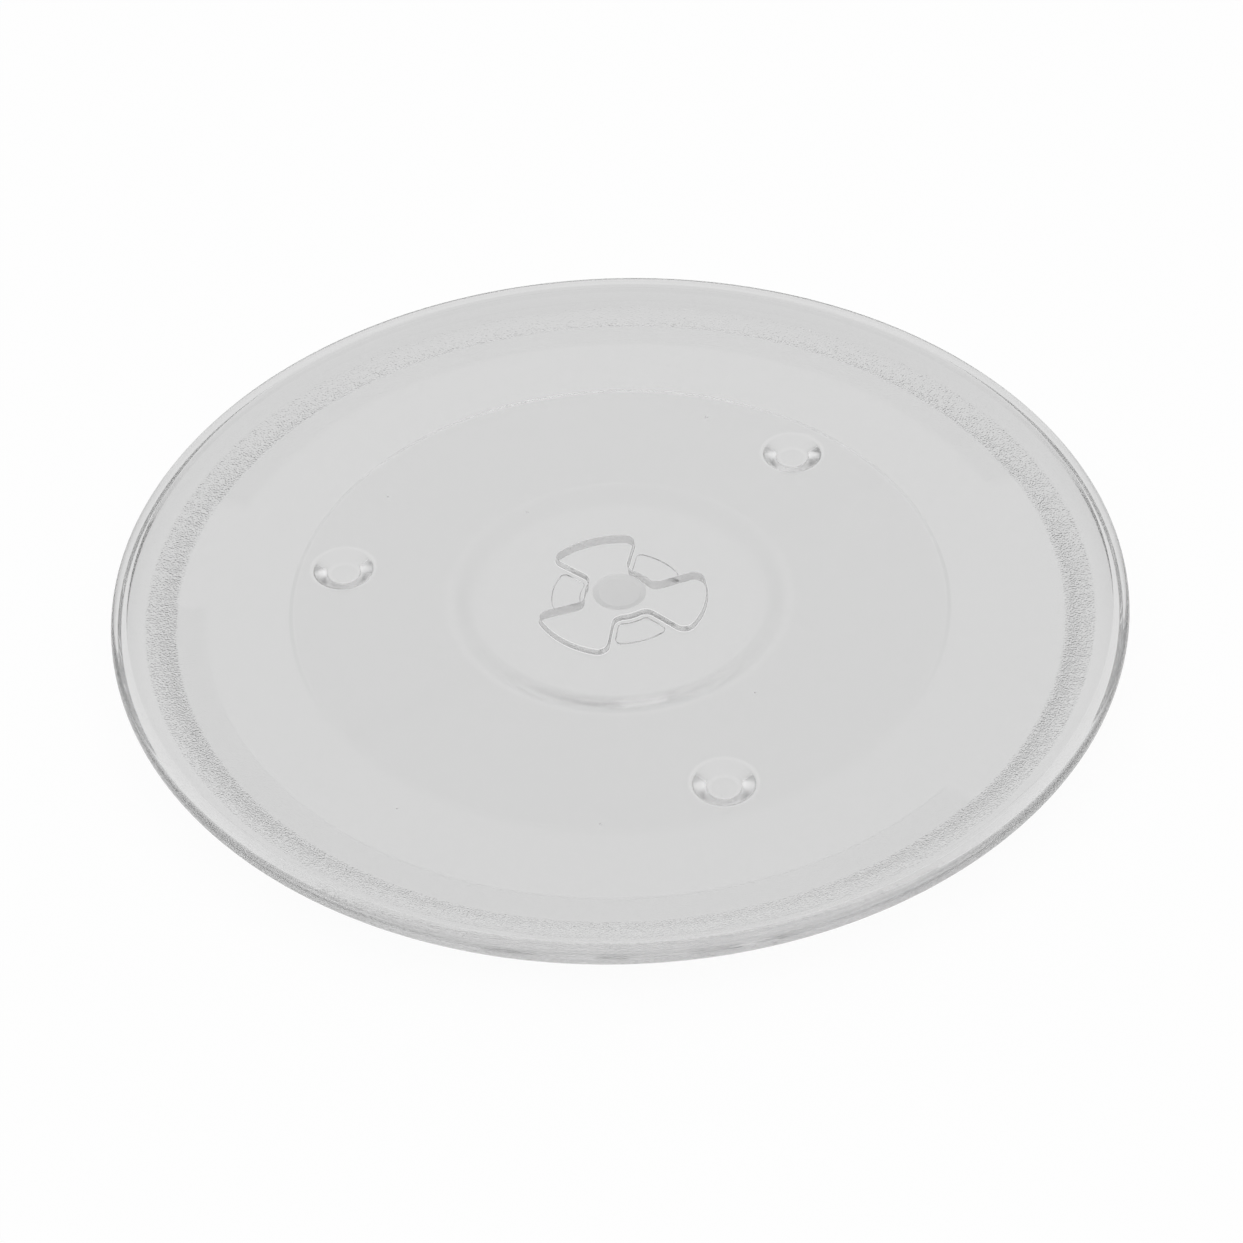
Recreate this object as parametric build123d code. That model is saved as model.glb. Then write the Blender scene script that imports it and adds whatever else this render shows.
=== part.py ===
from build123d import *
import math
import os

# Round turntable plate of a microwave oven, pressed from clear glass in one piece. Millimetres.
# The origin is on the plate's axis, in the plane that the three feet stand on. +Z points up, out
# of the dish. +X runs through the middle of the longer raised panel.

# Dish
plate_diameter = 255.0
glass_thickness = 5.0
rim_width = 15.2  # from the edge of the flat floor to the outer edge of the lip
cove_round = 19.6  # of the wall's top side
lip_rise = 3.5  # from the dish's floor up to the lip's flat crest
lip_thickness = 3.85
lip_round = 1.5
crest_edge_round = 0.3
wall_under_slope = 15.5  # degrees, of the wall's underside
wall_under_inset = 0.5  # from the edge of the flat floor out to where the underside turns up
wall_under_round = 6.0
lip_overhang = 2.9  # from the outer edge in to the step under the lip
lip_step_width = 0.6
lip_step_foot_round = 0.6
lip_step_root_round = 0.4

# Feet
foot_height = 3.6
foot_tip_diameter = 8.4
foot_base_diameter = 15.4
foot_inset = 11.3  # from the inner edge of the track in to the middle of a foot
foot_tip_round = 1.2
foot_root_round = 1.2

# Roller track and its two raised panels
track_relief = 0.2
track_width = 21.2
border_width = 7.6  # from the outer edge of the track to the outer edge of a panel
panel_margin = 0.5  # from the outer edge of a panel to the edge of the flat floor
long_panel_angle = 64.5  # degrees
short_panel_angle = 21.5  # degrees
panel_corner_round = 2.0

# Drive hub: a boss with a three-lobed socket for the coupler
boss_diameter = 79.2  # half way up the boss's sloping side
boss_side_width = 10.6
ground_clearance = 1.5  # from the lugs to the surface that the feet stand on
lug_relief = 0.7  # from the boss's face down to the lugs' faces
lug_angle = 56.0  # degrees
lug_inner_radius = 8.9
lug_outer_radius = 18.3
lug_ledge = 1.1  # how far a lug's raised face stands back from the socket's side
lug_corner_round = 1.4
lug_edge_round = 0.4
socket_radius = 22.6
socket_depth = 3.2
socket_draft = 10.0  # degrees
socket_corner_round = 1.6
socket_ceiling_round = 0.8
socket_mouth_round = 0.8
centre_pad_diameter = 13.5
centre_pad_relief = 0.3

# Heights
floor_bottom = foot_height
floor_top = foot_height + glass_thickness
lip_top = floor_top + lip_rise
lip_bottom = lip_top - lip_thickness
boss_face = ground_clearance + lug_relief
socket_ceiling = boss_face + socket_depth

# Radii
plate_radius = plate_diameter / 2
flat_radius = plate_radius - rim_width
lip_step_root = plate_radius - lip_overhang
lip_step_foot = lip_step_root - lip_step_width
panel_outer_radius = flat_radius - panel_margin
track_outer_radius = panel_outer_radius - border_width
track_inner_radius = track_outer_radius - track_width
foot_circle_radius = track_inner_radius - foot_inset
boss_face_radius = boss_diameter / 2 - boss_side_width / 2

# The three lugs and feet share their angles. The socket's lobes lie between them.
lug_angles = [60.0, 180.0, 300.0]
long_panel_middle = 0.0
short_panel_middle = 180.0


def sector(inner_radius, outer_radius, middle, span):
    """Plan of a piece of a ring about the axis, span degrees wide."""
    outer = CenterArc((0, 0), outer_radius, middle - span / 2, span)
    inner = CenterArc((0, 0), inner_radius, middle - span / 2, span)
    sides = [Line(inner @ 0, outer @ 0), Line(inner @ 1, outer @ 1)]
    return make_face([outer, inner, *sides])


def from_axis(point):
    """How far a point is from the axis."""
    return math.hypot(point.X, point.Y)


def round_corner(plan, corner, radius):
    """A plan with one of its corners rounded."""
    return fillet(plan.vertices().sort_by_distance(corner)[:1], radius)


def dish():
    """The flat floor, the boss below it and the coved wall with its lip, by one turn."""
    cove_angle = math.degrees(math.acos(1 - lip_rise / cove_round))
    cove = CenterArc((flat_radius, floor_top + cove_round), cove_round, -90, cove_angle)
    boss_inner = (boss_face_radius, boss_face)
    boss_middle = (boss_diameter / 2, (boss_face + floor_bottom) / 2)
    boss_outer = (boss_face_radius + boss_side_width, floor_bottom)
    bend = (flat_radius + wall_under_inset, floor_bottom)
    wall_rise = (lip_step_foot - bend[0]) * math.tan(math.radians(wall_under_slope))
    step_foot = (lip_step_foot, floor_bottom + wall_rise)
    step_root = (lip_step_root, lip_bottom)
    lip_low = (plate_radius, lip_bottom)
    lip_high = (plate_radius, lip_top)
    edges = [
        Line((0, boss_face), boss_inner),
        TangentArc(boss_inner, boss_middle, tangent=(1, 0)),
        TangentArc(boss_outer, boss_middle, tangent=(-1, 0)),
        Polyline(boss_outer, bend, step_foot, step_root, lip_low, lip_high, cove @ 1),
        cove,
        Line((flat_radius, floor_top), (0, floor_top)),
        Line((0, floor_top), (0, boss_face)),
    ]
    plan = make_face(edges)
    step_height = lip_bottom - step_foot[1]
    plan = round_corner(plan, bend, wall_under_round)
    plan = round_corner(plan, step_foot, min(lip_step_foot_round, 0.4 * step_height))
    plan = round_corner(plan, step_root, min(lip_step_root_round, 0.4 * step_height))
    plan = round_corner(plan, lip_low, min(lip_round, 0.45 * lip_thickness))
    plan = round_corner(plan, lip_high, min(lip_round, 0.45 * lip_thickness))
    plan = round_corner(plan, cove @ 1, crest_edge_round)
    return revolve(Plane.XZ * plan, Axis.Z)


def track():
    """The roller track: a low ring that widens into a panel on two opposite sides."""
    plan = Circle(track_outer_radius) - Circle(track_inner_radius)
    middle = (track_inner_radius + track_outer_radius) / 2
    plan += sector(middle, panel_outer_radius, long_panel_middle, long_panel_angle)
    plan += sector(middle, panel_outer_radius, short_panel_middle, short_panel_angle)
    corners = [v for v in plan.vertices() if from_axis(v) > middle]
    plan = fillet(corners, min(panel_corner_round, 0.45 * border_width))
    return extrude(Pos(0, 0, floor_bottom - track_relief) * plan, track_relief + glass_thickness / 2)


def foot():
    """One foot about its own axis: a flat tip, a sloping side and a flared root under a thin brim."""
    tip, base = foot_tip_diameter / 2, foot_base_diameter / 2
    brim = base + 2 * foot_root_round
    sunk = floor_bottom + glass_thickness / 2
    side = [(0, 0), (tip, 0), (base, floor_bottom)]
    root = [(brim, floor_bottom), (brim, sunk), (0, sunk)]
    plan = make_face(Polyline(*side, *root, close=True))
    reach = min(base - tip, foot_height)
    plan = round_corner(plan, (tip, 0), min(foot_tip_round, reach))
    plan = round_corner(plan, (base, floor_bottom), min(foot_root_round, reach))
    return revolve(Plane.XZ * plan, Axis.Z)


def socket():
    """The space for the coupler's wings: a round pocket less the three lugs, narrowing upwards."""
    plan = Circle(socket_radius)
    for angle in lug_angles:
        plan -= sector(lug_inner_radius, 2 * socket_radius, angle, lug_angle)
    plan = fillet(plan.vertices(), socket_corner_round)
    space = extrude(Pos(0, 0, boss_face) * plan, socket_depth, taper=socket_draft)
    ceiling_corner = socket_corner_round - socket_depth * math.tan(math.radians(socket_draft))
    return fillet(space.faces().sort_by(Axis.Z)[-1].edges(), min(socket_ceiling_round, 0.9 * ceiling_corner))


def cut_socket(plate):
    """The plate with its socket, whose mouth has a rounded edge."""
    plate -= socket()
    face_edges = plate.edges().filter_by_position(Axis.Z, boss_face, boss_face)
    mouth = [edge for edge in face_edges if from_axis(edge @ 0.5) < (socket_radius + boss_face_radius) / 2]
    return fillet(mouth, socket_mouth_round)


def lug(angle):
    """The raised face of one lug, which stands back a little from the socket's sides."""
    plan = sector(lug_inner_radius, lug_outer_radius, angle, lug_angle)
    plan = offset(plan, -lug_ledge)
    plan = fillet(plan.vertices(), lug_corner_round)
    pad = extrude(Pos(0, 0, boss_face - lug_relief) * plan, lug_relief + socket_depth / 2)
    return fillet(pad.faces().sort_by(Axis.Z)[0].edges(), lug_edge_round)


def centre_pad():
    """The low round pad in the middle of the socket's ceiling."""
    plan = Circle(centre_pad_diameter / 2)
    return extrude(Pos(0, 0, socket_ceiling - centre_pad_relief) * plan, 2 * centre_pad_relief)


def turntable_plate():
    plate = dish() + track()
    for angle in lug_angles:
        plate += Rot(0, 0, angle) * Pos(foot_circle_radius, 0, 0) * foot()
    plate = cut_socket(plate)
    for angle in lug_angles:
        plate += lug(angle)
    return plate + centre_pad()


os.makedirs("parts", exist_ok=True)
export_step(turntable_plate(), "parts/turntable_plate.step")
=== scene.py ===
import math

import bmesh
import bpy
import numpy as np
from mathutils import Matrix, Vector
from mathutils.geometry import tessellate_polygon


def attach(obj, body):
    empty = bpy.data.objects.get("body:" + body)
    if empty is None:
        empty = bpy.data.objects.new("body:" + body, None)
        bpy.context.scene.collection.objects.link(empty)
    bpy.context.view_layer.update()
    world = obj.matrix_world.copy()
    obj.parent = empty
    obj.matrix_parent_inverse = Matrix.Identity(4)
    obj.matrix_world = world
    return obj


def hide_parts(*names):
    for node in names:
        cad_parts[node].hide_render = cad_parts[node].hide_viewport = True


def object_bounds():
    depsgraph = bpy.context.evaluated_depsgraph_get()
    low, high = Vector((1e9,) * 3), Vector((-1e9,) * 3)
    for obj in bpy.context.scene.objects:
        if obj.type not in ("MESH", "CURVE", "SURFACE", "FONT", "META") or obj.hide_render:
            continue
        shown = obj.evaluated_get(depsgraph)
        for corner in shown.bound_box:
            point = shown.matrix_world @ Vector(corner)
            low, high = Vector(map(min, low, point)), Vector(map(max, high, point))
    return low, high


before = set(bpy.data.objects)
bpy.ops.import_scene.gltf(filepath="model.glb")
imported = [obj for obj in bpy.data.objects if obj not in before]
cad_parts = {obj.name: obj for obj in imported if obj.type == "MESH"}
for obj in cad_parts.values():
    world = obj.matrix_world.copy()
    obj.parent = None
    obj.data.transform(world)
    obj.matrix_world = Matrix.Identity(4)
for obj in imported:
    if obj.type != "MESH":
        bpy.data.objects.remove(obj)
cad_low, cad_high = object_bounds()

NODE = "turntable_plate"
MM = 0.001  # the skin is worked out in millimetres and made in metres

# Dish
plate_radius = min(*cad_high.xy, *-cad_low.xy) / MM
glass_thickness = 5.0
rim_width = 15.2  # from the edge of the flat floor to the outer edge of the lip
cove_round = 19.6  # of the wall's top side
lip_rise = 3.5  # from the flat floor up to the lip's flat crest
lip_thickness = 3.85
lip_round = 1.7
lip_tilt = 0.2  # rise of the lip's underside towards its outer edge
crest_edge_round = 0.3
under_slope = math.radians(15.5)  # of the wall's underside
under_bend_radius = 112.8
under_bend_round = 6.0
step_foot_radius = 125.1  # the underside steps up to the lip between these two
step_top_radius = 125.7
step_foot_round = 0.6
step_top_round = 0.4

# Feet
foot_height = 3.6
foot_tip_radius = 4.2
foot_base_radius = 7.7
foot_circle_radius = 71.7
foot_round = 1.2

# Roller track and its two raised panels
track_relief = 0.2
track_inner_radius = 83.0
track_outer_radius = 104.2
panel_outer_radius = 111.8
long_panel_half = math.radians(32.25)
short_panel_half = math.radians(10.75)
panel_corner_round = 2.0
relief_edge_width = 1.0
panel_edge_width = 5.0

# Drive hub
boss_radius = 39.6  # half way up the boss's sloping side
boss_side_width = 9.2
boss_face = 2.2
lug_face = 1.5
lug_half = math.radians(28.0)
lug_inner_radius = 8.9
lug_outer_radius = 18.3
lug_ledge = 1.1  # how far a lug's raised face stands back from the socket's side
lug_corner_round = 1.4
lug_slope_width = 0.12
lug_edge_round = 0.12
socket_radius = 22.3
socket_ceiling = 5.4
socket_draft = math.radians(3.5)
socket_corner_round = 2.9
socket_ceiling_round = 0.25
socket_mouth_round = 0.25
pad_radius = 6.75
pad_face = 5.1
pad_slope_width = 1.5
pad_edge_round = 0.15

# Small pits in the floor's top face: across, along and radius
pits = [(11.6, 70.6, 0.45), (-65.8, 26.4, 0.30), (-28.5, 25.3, 0.30), (39.2, -33.5, 0.30),
        (-38.5, -84.6, 0.25), (9.7, -82.7, 0.30)]
pit_depth = 0.8  # as a share of the radius

# Stipple under the border and the coved wall
stipple_outer_radius = 120.8
stipple_height = 0.012
stipple_seed = 7
border_stipple = 0.2  # its strength on the flat border, where the full strength is 1
turn_lead = 1.0  # it grows to full strength from this far inside the edge of the flat floor
turn_width = 0.9
wall_ease = 0.35  # the share that it loses again up the wall
wall_ease_width = 6.0
stipple_fade_width = 1.2  # inside its outer edge
smooth_margin = 0.5  # from its outer edge to the first smooth ring
grain_width = 0.42  # of one grain, round the plate
grain_length = 0.42  # of one grain, along the radius
grain_height = 0.34

# Roughness of the pressed faces
pad_roughness = 0.35
wall_roughness = 0.2  # of the socket's wall
boss_roughness = 0.1
foot_roughness = 0.2
disc_roughness = 0.2  # of the flat disc between the boss and the track
border_roughness = 0.2
satin_reach = 1.0  # how far past the edge of the flat floor the border's roughness goes
satin_fade_width = 2.0

# Glass: the grey of its surface from place to place, which is painted shade over the whole plate and
# painted light on the socket's wall, the feet and the lip, and the grey inside it
# the glass's own faint grey together with painted shade, which stands in for the darker floor seen
# through the plate
glass_grey_and_painted_shade = 0.625
# painted light: the socket's wall is given a lighter grey than the rest of the glass
wall_painted_light = 1.0  # of the socket's wall
# painted light: the feet's sides are given a lighter grey than the rest of the glass
foot_painted_light = 0.72
# painted light: the lip is given a lighter grey than the rest of the glass
lip_painted_light = 0.67
glass_index = 1.5
glass_density = 4.0
inner_grey = 0.9

# Floor
floor_size = 6.0  # in metres
floor_gap = 0.3  # keeps the floor's face clear of the feet's
floor_grey = 0.9
floor_white = 0.95  # how white it shows to the camera and through the glass

# Light of the surroundings, as a share of white
above_light = 0.95
backdrop_light = 1.0
wall_light = 0.02
backdrop_half = math.radians(18.0)
wall_start = math.radians(46.0)
wall_foot = 0.35  # sines of the heights between which backdrop and walls turn into the light above
wall_top = 0.8

# Soft round lamps: turn from straight ahead, height and half widths in degrees, and light added
far_lamp = {"turn": 0.0, "height": 36.0, "inner": 14.0, "outer": 34.0, "light": 0.55}
side_lamp = {"turn": 108.0, "height": 42.0, "inner": 4.0, "outer": 26.0, "light": 0.9}

# The photograph's camera
IMAGE_SIZE = 1243.0
SENSOR_WIDTH = 36.0
CLIP_START = 0.01
focal_pixels = 3243.0
camera_azimuth = math.radians(11.0)
camera_elevation = math.radians(41.78)
camera_roll = math.radians(-1.94)
camera_distance = 819.8 * MM
sight_height = 6.04 * MM  # height of the axis point that the distance is measured to
sight_pixel = (619.46, 594.59)  # where that point is in the photograph

# Light paths through the glass
GLASS_BOUNCES = 48
DIFFUSE_BOUNCES = 1

# How finely the skin is divided
TOP_COUNT = 360
UNDER_COUNT = 4 * TOP_COUNT
STIPPLE_RINGS = 31
BOSS_COUNT = 360
FOOT_COUNT = 72
PAD_COUNT = 96
PIT_COUNT = 16
EDGE_STEPS = 6  # along a rounded edge of the hub and the track
RIM_STEPS = 8  # along a rounded edge of the rim and the feet
BOSS_STEPS = 24  # up the boss's side
COVE_STEPS = 15
PIT_STEPS = 6
CORNER_STEPS = 8  # round a corner of the socket or a lug
LOBE_STEPS = 24  # along a lobe's outer arc
HALF_LUG_STEPS = 4  # along half of the socket's arc round a lug's tip
LUG_FAR_STEPS = 16  # along the arcs of a lug's raised face
LUG_NEAR_STEPS = 6
COVE_START = 0.97  # how far up the cove its first ring is, just below the crest's rounded edge
GUARD = 0.08  # flat margin beside a rounded edge, which keeps the shading of flat faces level
SAME_POINT = 1e-6

# Heights and circles that follow from these
floor_bottom = foot_height
floor_top = foot_height + glass_thickness
lip_top = floor_top + lip_rise
lip_bottom = lip_top - lip_thickness
track_face = floor_bottom - track_relief
flat_radius = plate_radius - rim_width
cove_turn = math.acos(1 - lip_rise / cove_round)
crest_radius = flat_radius + cove_round * math.sin(cove_turn)
step_foot_height = floor_bottom + (step_foot_radius - under_bend_radius) * math.tan(under_slope)
lug_angles = [math.radians(a) for a in (60, 180, 300)]
lobe_angles = [math.radians(a) for a in (0, 120, 240)]


def polar(distance, angle):
    return np.array([distance * math.cos(angle), distance * math.sin(angle)])


def smooth_step(t):
    t = np.clip(t, 0, 1)
    return t * t * (3 - 2 * t)


class Outline:
    """A closed plan: its points and, at each, the direction that leads out of it."""

    def __init__(self, points, outward):
        self.points = np.array(points)
        self.outward = np.array(outward)

    def offset(self, distance):
        return self.points + distance * self.outward


def circle(radius, count, centre=(0.0, 0.0)):
    turn = np.arange(count) * 2 * math.pi / count
    outward = np.stack([np.cos(turn), np.sin(turn)], axis=1)
    return Outline(np.array(centre) + radius * outward, outward)


def outline_of_arcs(arcs):
    """An outline from arcs (centre, radius, first angle, last angle, side, steps) and lines between."""
    points, outward = [], []
    for centre, radius, first, last, side, steps in arcs:
        for angle in np.linspace(first, last, steps + 1):
            point = centre + polar(radius, angle)
            if points and np.linalg.norm(point - points[-1]) < SAME_POINT:
                continue
            points.append(point)
            outward.append(side * polar(1.0, angle))
    if np.linalg.norm(points[0] - points[-1]) < SAME_POINT:
        points.pop()
        outward.pop()
    return Outline(points, outward)


def socket_outline():
    """The socket's mouth: three lobes between the lugs, with rounded corners."""
    c = socket_corner_round
    side = math.pi / 3 - lug_half
    inner, outer = lug_inner_radius + c, socket_radius - c
    lug_turn, lobe_turn = side + math.asin(c / inner), side - math.asin(c / outer)
    right, origin = math.pi / 2, np.zeros(2)
    arcs = []
    for a in lobe_angles:
        before, after = a - lug_turn, a + lug_turn
        first, last = a - lobe_turn, a + lobe_turn
        arcs += [
            (origin, lug_inner_radius, a - math.pi / 3, before, 1, HALF_LUG_STEPS),
            (polar(inner, before), c, before + math.pi, a - side + right, -1, CORNER_STEPS),
            (polar(outer, first), c, a - side - right, first, 1, CORNER_STEPS),
            (origin, socket_radius, first, last, 1, LOBE_STEPS),
            (polar(outer, last), c, last, a + side + right, 1, CORNER_STEPS),
            (polar(inner, after), c, a + side - right, after - math.pi, -1, CORNER_STEPS),
            (origin, lug_inner_radius, after, a + math.pi / 3, 1, HALF_LUG_STEPS),
        ]
    return outline_of_arcs(arcs)


def lug_outline(a):
    """The raised face of one lug, which stands back from the socket's sides."""
    c = lug_corner_round
    near, far = lug_inner_radius + lug_ledge, lug_outer_radius - lug_ledge
    near_turn = lug_half - math.asin((lug_ledge + c) / (near + c))
    far_turn = lug_half - math.asin((lug_ledge + c) / (far - c))
    right, origin = math.pi / 2, np.zeros(2)
    lug_first, lug_last = a - lug_half, a + lug_half
    far_first, far_last = a - far_turn, a + far_turn
    near_first, near_last = a - near_turn, a + near_turn
    arcs = [
        (origin, far, far_first, far_last, 1, LUG_FAR_STEPS),
        (polar(far - c, far_last), c, far_last, lug_last + right, 1, CORNER_STEPS),
        (polar(near + c, near_last), c, lug_last + right, near_last + math.pi, 1, CORNER_STEPS),
        (origin, near, near_last, near_first, -1, LUG_NEAR_STEPS),
        (polar(near + c, near_first), c, near_first + math.pi, lug_first + 3 * right, 1, CORNER_STEPS),
        (polar(far - c, far_first), c, lug_first - right, far_first, 1, CORNER_STEPS),
    ]
    return outline_of_arcs(arcs)


def rounded(corners, steps=EDGE_STEPS):
    """A profile through (across, height, round) corners, with an arc at each inner one."""
    profile = [corners[0][:2]]
    for before, corner, after in zip(corners, corners[1:], corners[2:]):
        here = np.array(corner[:2])
        back = np.array(before[:2]) - here
        ahead = np.array(after[:2]) - here
        back /= np.linalg.norm(back)
        ahead /= np.linalg.norm(ahead)
        inward = (back + ahead) / np.linalg.norm(back + ahead)
        half_angle = math.acos(np.clip(back @ ahead, -1, 1)) / 2
        start = here + back * corner[2] / math.tan(half_angle)
        centre = here + inward * corner[2] / math.sin(half_angle)
        spoke = start - centre
        turn = math.pi - 2 * half_angle
        if spoke[0] * back[1] - spoke[1] * back[0] > 0:
            turn = -turn
        for t in np.linspace(0, turn, steps + 1):
            ct, st = math.cos(t), math.sin(t)
            profile.append(centre + [spoke[0] * ct - spoke[1] * st, spoke[0] * st + spoke[1] * ct])
    profile.append(corners[-1][:2])
    return profile


class Skin:
    """The plate's surface as it grows: points in millimetres, the glass's look at each, painted shade
    and painted light included, and faces.
    """

    def __init__(self):
        self.points = []
        self.stipple = []
        self.matt = []
        # painted shade and painted light: the glass's grey at each point
        self.painted_shade_and_light = []
        self.faces = []

    def ring(self, plan, height, stipple=0.0, matt=0.0, painted_shade_and_light=glass_grey_and_painted_shade):
        """Adds one closed ring of points and returns their numbers."""
        start, count = len(self.points), len(plan)
        self.points += [(x, y, z) for (x, y), z in zip(plan, np.broadcast_to(height, count))]
        self.stipple += list(np.broadcast_to(stipple, count))
        self.matt += list(np.broadcast_to(matt, count))
        self.painted_shade_and_light += [painted_shade_and_light] * count
        return list(range(start, start + count))

    def strip(self, one, other):
        """Joins two rings with as many points each."""
        n = len(one)
        for i in range(n):
            j = (i + 1) % n
            self.faces.append((one[i], one[j], other[j], other[i]))

    def widen(self, coarse, fine):
        """Joins a ring to one with some whole number of times as many points."""
        n, times = len(coarse), len(fine) // len(coarse)
        middle = times // 2
        for i in range(n):
            here, there = coarse[i], coarse[(i + 1) % n]
            stretch = [fine[(times * i + k) % len(fine)] for k in range(times + 1)]
            self.faces += [(here, b, a) for a, b in zip(stretch[:middle], stretch[1:])]
            self.faces.append((here, there, stretch[middle]))
            self.faces += [(there, b, a) for a, b in zip(stretch[middle:], stretch[middle + 1:])]

    def fill(self, outer, *holes):
        """Fills a flat face inside one ring and round the others."""
        loops = [outer, *holes]
        flat = [[Vector((*self.points[i][:2], 0.0)) for i in loop] for loop in loops]
        numbers = [i for loop in loops for i in loop]
        self.faces += [tuple(numbers[k] for k in corners) for corners in tessellate_polygon(flat)]

    def edge(self, outline, profile, matt=0.0, painted_shade_and_light=glass_grey_and_painted_shade):
        """Sweeps a profile of (offset, height) round an outline and returns the first and last ring."""
        rings = [self.ring(outline.offset(d), z) for d, z in profile]
        for i in sum(rings[1:-1], []):
            self.matt[i] = matt
            self.painted_shade_and_light[i] = painted_shade_and_light
        for one, other in zip(rings, rings[1:]):
            self.strip(one, other)
        return rings[0], rings[-1]


def build_hub(skin):
    """The boss with its socket, lugs and middle pad. Returns the ring at the boss's root."""
    pad_side = [
        (-pad_slope_width - pad_edge_round, pad_face),
        (-pad_slope_width, pad_face, pad_edge_round),
        (0, socket_ceiling, pad_edge_round),
        (pad_edge_round, socket_ceiling),
    ]
    pad = circle(pad_radius, PAD_COUNT)
    pad_inner, pad_outer = skin.edge(pad, rounded(pad_side), pad_roughness)
    skin.fill(pad_inner)
    for i in pad_inner:
        skin.matt[i] = pad_roughness

    lean = (socket_ceiling - boss_face) * math.tan(socket_draft)
    wall = [
        (-lean - socket_ceiling_round - GUARD, socket_ceiling),
        (-lean, socket_ceiling, socket_ceiling_round),
        (0, boss_face, socket_mouth_round),
        (socket_mouth_round, boss_face),
    ]
    # painted light on the socket's wall through its lighter grey
    ceiling_ring, mouth_ring = skin.edge(socket_outline(), rounded(wall), wall_roughness, wall_painted_light)
    skin.fill(ceiling_ring, pad_outer)

    lug_rings = []
    lug_side = [
        (-lug_slope_width - lug_edge_round, lug_face),
        (-lug_slope_width, lug_face, lug_edge_round),
        (0, boss_face, lug_edge_round),
        (lug_edge_round, boss_face),
    ]
    for angle in lug_angles:
        face_ring, root_ring = skin.edge(lug_outline(angle), rounded(lug_side))
        skin.fill(face_ring)
        lug_rings.append(root_ring)

    drop = floor_bottom - boss_face
    slope = [(boss_side_width * (t - 0.5), boss_face + drop * smooth_step(t))
             for t in np.linspace(0, 1, BOSS_STEPS + 1)]
    side = [(slope[0][0] - GUARD, boss_face), *slope, (slope[-1][0] + GUARD, floor_bottom)]
    face_ring, root_ring = skin.edge(circle(boss_radius, BOSS_COUNT), side, boss_roughness)
    skin.fill(face_ring, mouth_ring, *lug_rings)
    return root_ring


def build_foot(skin, centre):
    """One foot. Returns the ring round its root."""
    spread = foot_base_radius - foot_tip_radius
    side = [
        (-foot_round - GUARD, 0.0),
        (0, 0.0, foot_round),
        (spread, floor_bottom, foot_round),
        (spread + foot_round, floor_bottom),
    ]
    tip = circle(foot_tip_radius, FOOT_COUNT, centre)
    # painted light on the feet's sides through their lighter grey
    tip_ring, root_ring = skin.edge(tip, rounded(side, RIM_STEPS), foot_roughness, foot_painted_light)
    skin.fill(tip_ring)
    return root_ring


def panel_distance(radius, turn, middle, half_turn):
    """How far a point is outside a panel's rounded outline, in millimetres, negative inside it."""
    away = np.abs((turn - middle + math.pi) % (2 * math.pi) - math.pi)
    c = panel_corner_round
    side = radius * np.sin(np.clip(away - half_turn, -math.pi / 2, math.pi / 2)) + c
    end = radius - panel_outer_radius + c
    beyond = np.hypot(np.maximum(side, 0), np.maximum(end, 0))
    return beyond + np.minimum(np.maximum(side, end), 0) - c


def raised(radius, turn):
    """1 on the track and its panels, 0 off them, with a soft edge."""
    height = 1 - smooth_step((radius - track_outer_radius) / relief_edge_width + 0.5)
    for middle, half_turn in ((0.0, long_panel_half), (math.pi, short_panel_half)):
        distance = panel_distance(radius, turn, middle, half_turn)
        height = np.maximum(height, 1 - smooth_step(distance / panel_edge_width + 0.5))
    return height


def rim_profile():
    """The rim's section as (radius, height) points, from under the floor round the lip to its crest."""
    corners = [
        (track_inner_radius, floor_bottom),
        (under_bend_radius, floor_bottom, under_bend_round),
        (step_foot_radius, step_foot_height, step_foot_round),
        (step_top_radius, lip_bottom, step_top_round),
        (plate_radius, lip_bottom + lip_tilt, lip_round),
        (plate_radius, lip_top, lip_round),
        (crest_radius, lip_top, crest_edge_round),
        (crest_radius - math.cos(cove_turn), lip_top - math.sin(cove_turn)),
    ]
    return rounded(corners, RIM_STEPS)[:-1]


def under_height(radius):
    """The underside's height out to the wall, without its stipple and relief."""
    rise = [(r, z) for r, z in rim_profile() if r < step_foot_radius and z < step_foot_height]
    return np.interp(radius, *np.array(rise).T)


def stipple_strength(radius):
    """Faint on the flat border, strongest where the wall turns up, none on the band under the lip."""
    turned = smooth_step((radius - flat_radius + turn_lead) / turn_width)
    eased = 1 - wall_ease * smooth_step((radius - flat_radius) / wall_ease_width)
    fade = smooth_step((stipple_outer_radius - radius) / stipple_fade_width)
    return (border_stipple + (1 - border_stipple) * turned) * eased * fade


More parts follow.
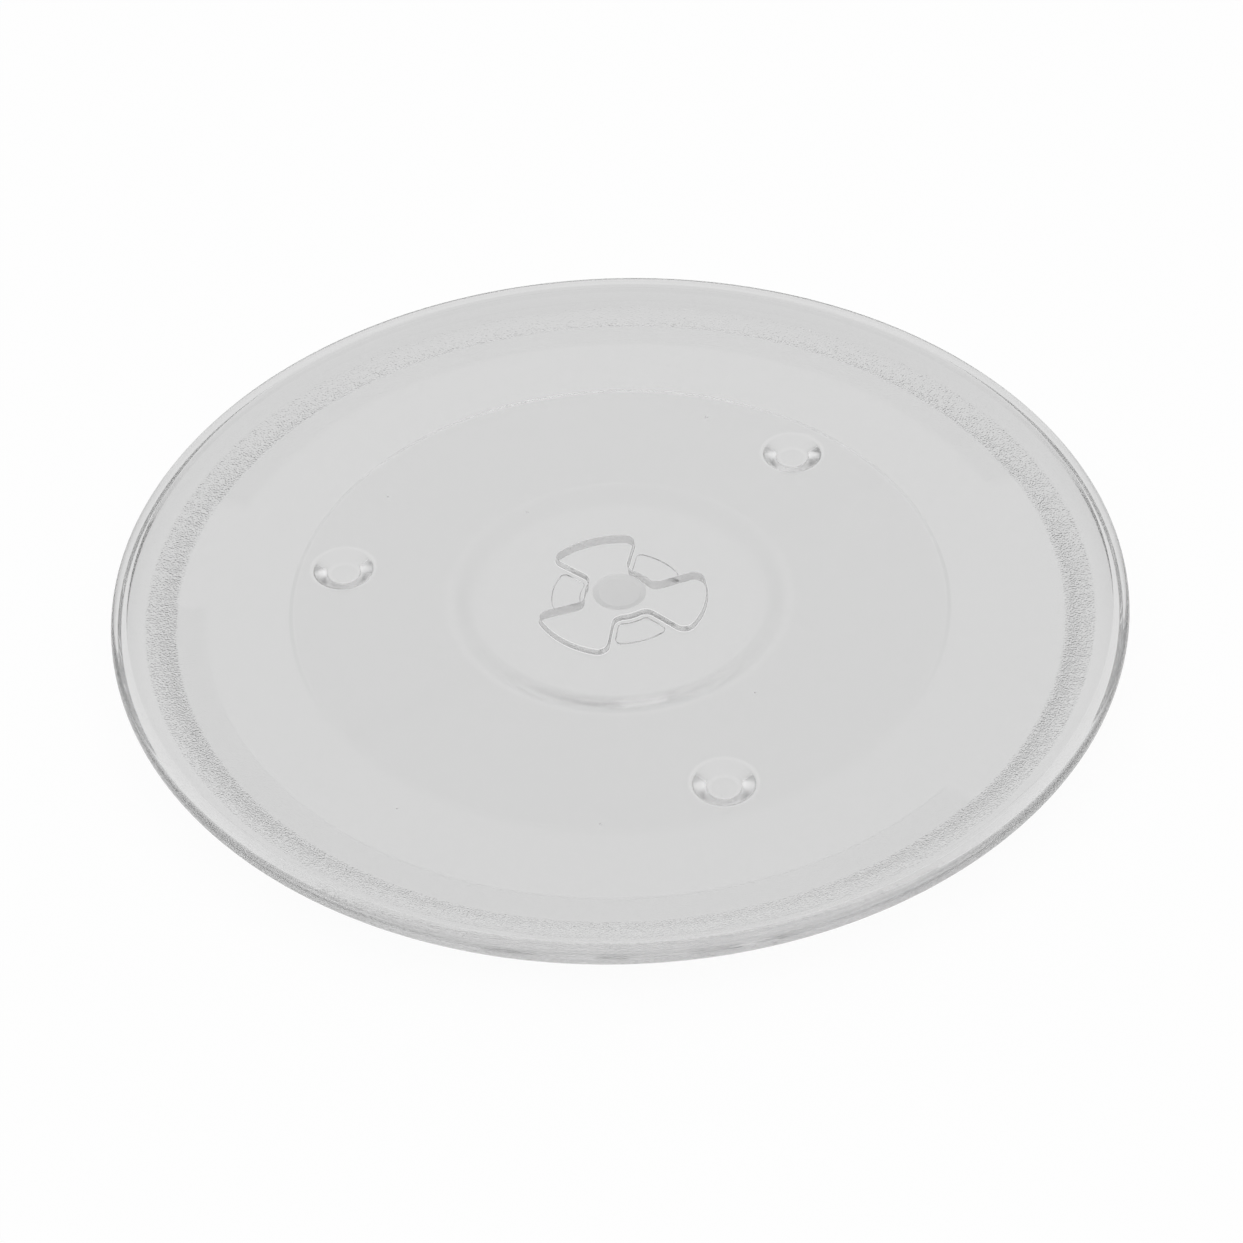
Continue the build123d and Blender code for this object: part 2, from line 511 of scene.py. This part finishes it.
def build_underside(skin):
    """From the hub out to the lip's crest. Returns the last ring."""
    boss_root = build_hub(skin)
    feet = [build_foot(skin, polar(foot_circle_radius, a)) for a in lug_angles]

    w = relief_edge_width / 2
    step = [
        (-2 * w, floor_bottom),
        (-w, floor_bottom, w / 2),
        (w, track_face, w / 2),
        (2 * w, track_face),
    ]
    disc_ring, track_ring = skin.edge(circle(track_inner_radius, TOP_COUNT), rounded(step))
    for i in disc_ring + boss_root + sum(feet, []):
        skin.matt[i] = disc_roughness
    skin.fill(disc_ring, boss_root, *feet)

    fine = circle(1.0, UNDER_COUNT).points
    turn = np.arctan2(fine[:, 1], fine[:, 0])
    first_radius = track_outer_radius - relief_edge_width
    stippled = np.linspace(first_radius, stipple_outer_radius, STIPPLE_RINGS)
    random = np.random.default_rng(stipple_seed)
    last = skin.ring(fine * first_radius, track_face)
    skin.widen(track_ring, last)
    for radius in stippled[1:]:
        relief = raised(radius, turn)
        rough = (1 - relief) * stipple_strength(radius)
        bumps = stipple_height * random.standard_normal(UNDER_COUNT) * rough
        height = under_height(radius) - track_relief * relief + bumps
        satin = smooth_step((flat_radius + satin_reach - radius) / satin_fade_width)
        ring = skin.ring(fine * radius, height, rough, border_roughness * (1 - relief) * satin)
        skin.strip(last, ring)
        last = ring

    coarse = circle(1.0, TOP_COUNT).points
    smooth = [(r, z) for r, z in rim_profile() if r > stipple_outer_radius + smooth_margin]
    for radius, height in smooth:
        # painted light on the smooth rings under and round the lip through their lighter grey
        ring = skin.ring(coarse * radius, height, painted_shade_and_light=lip_painted_light)
        if len(last) == len(ring):
            skin.strip(last, ring)
        else:
            skin.widen(ring, last)
        last = ring
    return last


def build_pit(skin, across, along, radius):
    """One small round pit in the floor's top face. Returns the ring round it."""
    quarter = math.pi / 2
    bowl = [(radius * (math.sin(a) - 1), floor_top - pit_depth * radius * math.cos(a))
            for a in np.linspace(quarter / PIT_STEPS, quarter, PIT_STEPS)]
    rim = circle(radius, PIT_COUNT, (across, along))
    bottom_ring, rim_ring = skin.edge(rim, [*bowl, (GUARD, floor_top)])
    skin.fill(bottom_ring)
    return rim_ring


def build_plate():
    """The whole plate as one closed skin."""
    skin = Skin()
    last = build_underside(skin)
    coarse = circle(1.0, TOP_COUNT).points
    cove = [(flat_radius + cove_round * math.sin(t), floor_top + cove_round * (1 - math.cos(t)))
            for t in np.linspace(COVE_START * cove_turn, 0, COVE_STEPS + 1)]
    for radius, height in [*cove, (flat_radius - GUARD, floor_top)]:
        ring = skin.ring(coarse * radius, height)
        skin.strip(last, ring)
        last = ring
    skin.fill(last, *[build_pit(skin, *pit) for pit in pits])

    mesh = bpy.data.meshes.new("turntable_plate_glass")
    mesh.from_pydata([Vector(p) * MM for p in skin.points], [], skin.faces)
    for name, values in (("stipple", skin.stipple), ("matt", skin.matt), ("painted_shade_and_light", skin.painted_shade_and_light)):
        attribute = mesh.attributes.new(name, "FLOAT", "POINT")
        attribute.data.foreach_set("value", np.array(values, np.float32))
    shell = bmesh.new()
    shell.from_mesh(mesh)
    bmesh.ops.recalc_face_normals(shell, faces=shell.faces)
    shell.to_mesh(mesh)
    shell.free()
    mesh.shade_smooth()
    piece = bpy.data.objects.new("turntable_plate_glass", mesh)
    bpy.context.scene.collection.objects.link(piece)
    return piece


def vector_math(nodes, links, operation, first, second=None):
    """A vector node's outputs. Its second input is a link, a fixed vector or nothing."""
    node = nodes.new("ShaderNodeVectorMath")
    node.operation = operation
    links.new(first, node.inputs[0])
    if isinstance(second, tuple):
        node.inputs[1].default_value = second
    elif second is not None:
        links.new(second, node.inputs[1])
    return node.outputs


def math_node(nodes, links, operation, first, second=None):
    """A number node's output. Its second input is a link, a fixed number or nothing."""
    node = nodes.new("ShaderNodeMath")
    node.operation = operation
    links.new(first, node.inputs[0])
    if isinstance(second, float):
        node.inputs[1].default_value = second
    elif second is not None:
        links.new(second, node.inputs[1])
    return node.outputs["Value"]


def graded(nodes, links, value, from_low, from_high, to_low, to_high):
    """A value that goes smoothly from one level to another."""
    node = nodes.new("ShaderNodeMapRange")
    node.interpolation_type = "SMOOTHSTEP"
    node.inputs["From Min"].default_value = from_low
    node.inputs["From Max"].default_value = from_high
    node.inputs["To Min"].default_value = to_low
    node.inputs["To Max"].default_value = to_high
    links.new(value, node.inputs["Value"])
    return node.outputs["Result"]


def skin_value(nodes, name):
    """A value that the skin holds at each of its points."""
    node = nodes.new("ShaderNodeAttribute")
    node.attribute_name = name
    return node.outputs["Fac"]


def mould_grain(nodes, links):
    """Grains of the mould's texture, laid out round the plate and along its radius."""
    place = nodes.new("ShaderNodeTexCoord").outputs["Object"]
    plan = vector_math(nodes, links, "MULTIPLY", place, (1.0, 1.0, 0.0))["Vector"]
    heading = vector_math(nodes, links, "NORMALIZE", plan)["Vector"]
    across = flat_radius / grain_width
    wrapped = vector_math(nodes, links, "MULTIPLY", heading, (across, across, 0.0))["Vector"]
    lifted = nodes.new("ShaderNodeCombineXYZ")
    links.new(vector_math(nodes, links, "LENGTH", plan)["Value"], lifted.inputs["Z"])
    along = (0.0, 0.0, 1 / (grain_length * MM))
    stretched = vector_math(nodes, links, "MULTIPLY", lifted.outputs["Vector"], along)["Vector"]
    spot = vector_math(nodes, links, "ADD", wrapped, stretched)["Vector"]
    grain = nodes.new("ShaderNodeTexNoise")
    grain.inputs["Scale"].default_value = 1.0
    grain.inputs["Detail"].default_value = 0.0
    links.new(spot, grain.inputs["Vector"])
    return grain.outputs["Fac"]


def glass_material():
    """Clear pressed glass, greyed by the painted shade and painted light that the skin holds, with a
    fine stipple where the skin says so.
    """
    material = bpy.data.materials.new("clear_glass")
    material.use_nodes = True
    nodes, links = material.node_tree.nodes, material.node_tree.links
    glass = nodes["Principled BSDF"]
    # painted shade and painted light: the base colour is the skin's grey at each point
    links.new(skin_value(nodes, "painted_shade_and_light"), glass.inputs["Base Color"])
    links.new(skin_value(nodes, "matt"), glass.inputs["Roughness"])
    glass.inputs["IOR"].default_value = glass_index
    glass.inputs["Transmission Weight"].default_value = 1.0

    bump = nodes.new("ShaderNodeBump")
    bump.inputs["Distance"].default_value = grain_height * MM
    links.new(mould_grain(nodes, links), bump.inputs["Height"])
    links.new(skin_value(nodes, "stipple"), bump.inputs["Strength"])
    links.new(bump.outputs["Normal"], glass.inputs["Normal"])

    body = nodes.new("ShaderNodeVolumeAbsorption")
    body.inputs["Color"].default_value = (inner_grey, inner_grey, inner_grey, 1.0)
    body.inputs["Density"].default_value = glass_density
    links.new(body.outputs["Volume"], nodes["Material Output"].inputs["Volume"])
    return material


def make_floor():
    """A pale floor, white to the camera and through the glass, that takes the plate's shadow."""
    bpy.ops.mesh.primitive_plane_add(size=floor_size, location=(0.0, 0.0, -floor_gap * MM))
    floor = bpy.context.object
    floor.name = "floor"
    material = bpy.data.materials.new("floor_white")
    material.use_nodes = True
    nodes, links = material.node_tree.nodes, material.node_tree.links
    nodes.clear()
    out = nodes.new("ShaderNodeOutputMaterial")
    matt = nodes.new("ShaderNodeBsdfDiffuse")
    matt.inputs["Color"].default_value = (floor_grey, floor_grey, floor_grey, 1.0)
    white = nodes.new("ShaderNodeEmission")
    ray = nodes.new("ShaderNodeLightPath").outputs
    seen = math_node(nodes, links, "MAXIMUM", ray["Is Camera Ray"], ray["Is Glossy Ray"])
    seen = math_node(nodes, links, "MAXIMUM", seen, ray["Is Transmission Ray"])
    mix = nodes.new("ShaderNodeMixShader")
    links.new(math_node(nodes, links, "MULTIPLY", seen, floor_white), mix.inputs[0])
    links.new(matt.outputs[0], mix.inputs[1])
    links.new(white.outputs[0], mix.inputs[2])
    links.new(mix.outputs[0], out.inputs["Surface"])
    floor.data.materials.append(material)


def soft_lamp(nodes, links, place, lamp):
    """The light that a soft round lamp adds in each direction."""
    turn, height = math.radians(lamp["turn"]), math.radians(lamp["height"])
    level = math.cos(height)
    aim = (math.sin(turn) * level, math.cos(turn) * level, math.sin(height))
    toward = vector_math(nodes, links, "DOT_PRODUCT", place, aim)["Value"]
    edge, core = math.cos(math.radians(lamp["outer"])), math.cos(math.radians(lamp["inner"]))
    return graded(nodes, links, toward, edge, core, 0.0, lamp["light"])


def make_world():
    """Light from above, a lamp beyond the plate and one on each side, and dark walls at the sides."""
    world = bpy.data.worlds.new("studio")
    world.use_nodes = True
    bpy.context.scene.world = world
    nodes, links = world.node_tree.nodes, world.node_tree.links
    background = nodes["Background"]
    place = nodes.new("ShaderNodeTexCoord").outputs["Generated"]
    split = nodes.new("ShaderNodeSeparateXYZ")
    links.new(place, split.inputs[0])
    rise = split.outputs["Z"]
    c, s = math.cos(camera_azimuth), math.sin(camera_azimuth)
    ahead = vector_math(nodes, links, "DOT_PRODUCT", place, (-s, c, 0.0))["Value"]
    across = vector_math(nodes, links, "DOT_PRODUCT", place, (c, s, 0.0))["Value"]
    aside = math_node(nodes, links, "ABSOLUTE", across)
    turn = math_node(nodes, links, "ARCTAN2", aside, ahead)
    low = graded(nodes, links, turn, backdrop_half, wall_start, backdrop_light, wall_light)
    mix = nodes.new("ShaderNodeMix")
    links.new(graded(nodes, links, rise, wall_foot, wall_top, 0.0, 1.0), mix.inputs[0])
    links.new(low, mix.inputs[2])
    mix.inputs[3].default_value = above_light
    folded = nodes.new("ShaderNodeCombineXYZ")
    for value, socket in ((aside, "X"), (ahead, "Y"), (rise, "Z")):
        links.new(value, folded.inputs[socket])
    light = mix.outputs[0]
    for lamp in (far_lamp, side_lamp):
        extra = soft_lamp(nodes, links, folded.outputs["Vector"], lamp)
        light = math_node(nodes, links, "ADD", light, extra)
    links.new(light, background.inputs["Color"])
    background.inputs["Strength"].default_value = 1.0


def make_camera():
    """A camera at the photograph's place, turned so that the axis point falls on its pixel."""
    data = bpy.data.cameras.new("camera")
    data.sensor_width = SENSOR_WIDTH
    data.lens = focal_pixels / IMAGE_SIZE * SENSOR_WIDTH
    data.clip_start = CLIP_START
    camera = bpy.data.objects.new("camera", data)
    bpy.context.scene.collection.objects.link(camera)
    level = math.cos(camera_elevation)
    back = Vector((
        math.sin(camera_azimuth) * level,
        -math.cos(camera_azimuth) * level,
        math.sin(camera_elevation),
    ))
    place = Vector((0.0, 0.0, sight_height)) + camera_distance * back
    turn = back.to_track_quat("Z", "Y").to_matrix() @ Matrix.Rotation(camera_roll, 3, "Z")
    right_pixels = sight_pixel[0] - IMAGE_SIZE / 2
    up_pixels = IMAGE_SIZE / 2 - sight_pixel[1]
    pan = Matrix.Rotation(math.atan2(right_pixels, focal_pixels), 3, "Y")
    tilt = Matrix.Rotation(-math.atan2(up_pixels, focal_pixels), 3, "X")
    camera.matrix_world = Matrix.Translation(place) @ (turn @ pan @ tilt).to_4x4()
    bpy.context.scene.camera = camera


plate = build_plate()
plate.data.materials.append(glass_material())
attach(plate, "root")
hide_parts(NODE)
make_floor()
make_world()
make_camera()
bpy.context.scene.view_settings.view_transform = "Standard"
limits = bpy.context.scene.cycles
limits.max_bounces = GLASS_BOUNCES
limits.glossy_bounces = GLASS_BOUNCES
limits.transmission_bounces = GLASS_BOUNCES
limits.diffuse_bounces = DIFFUSE_BOUNCES
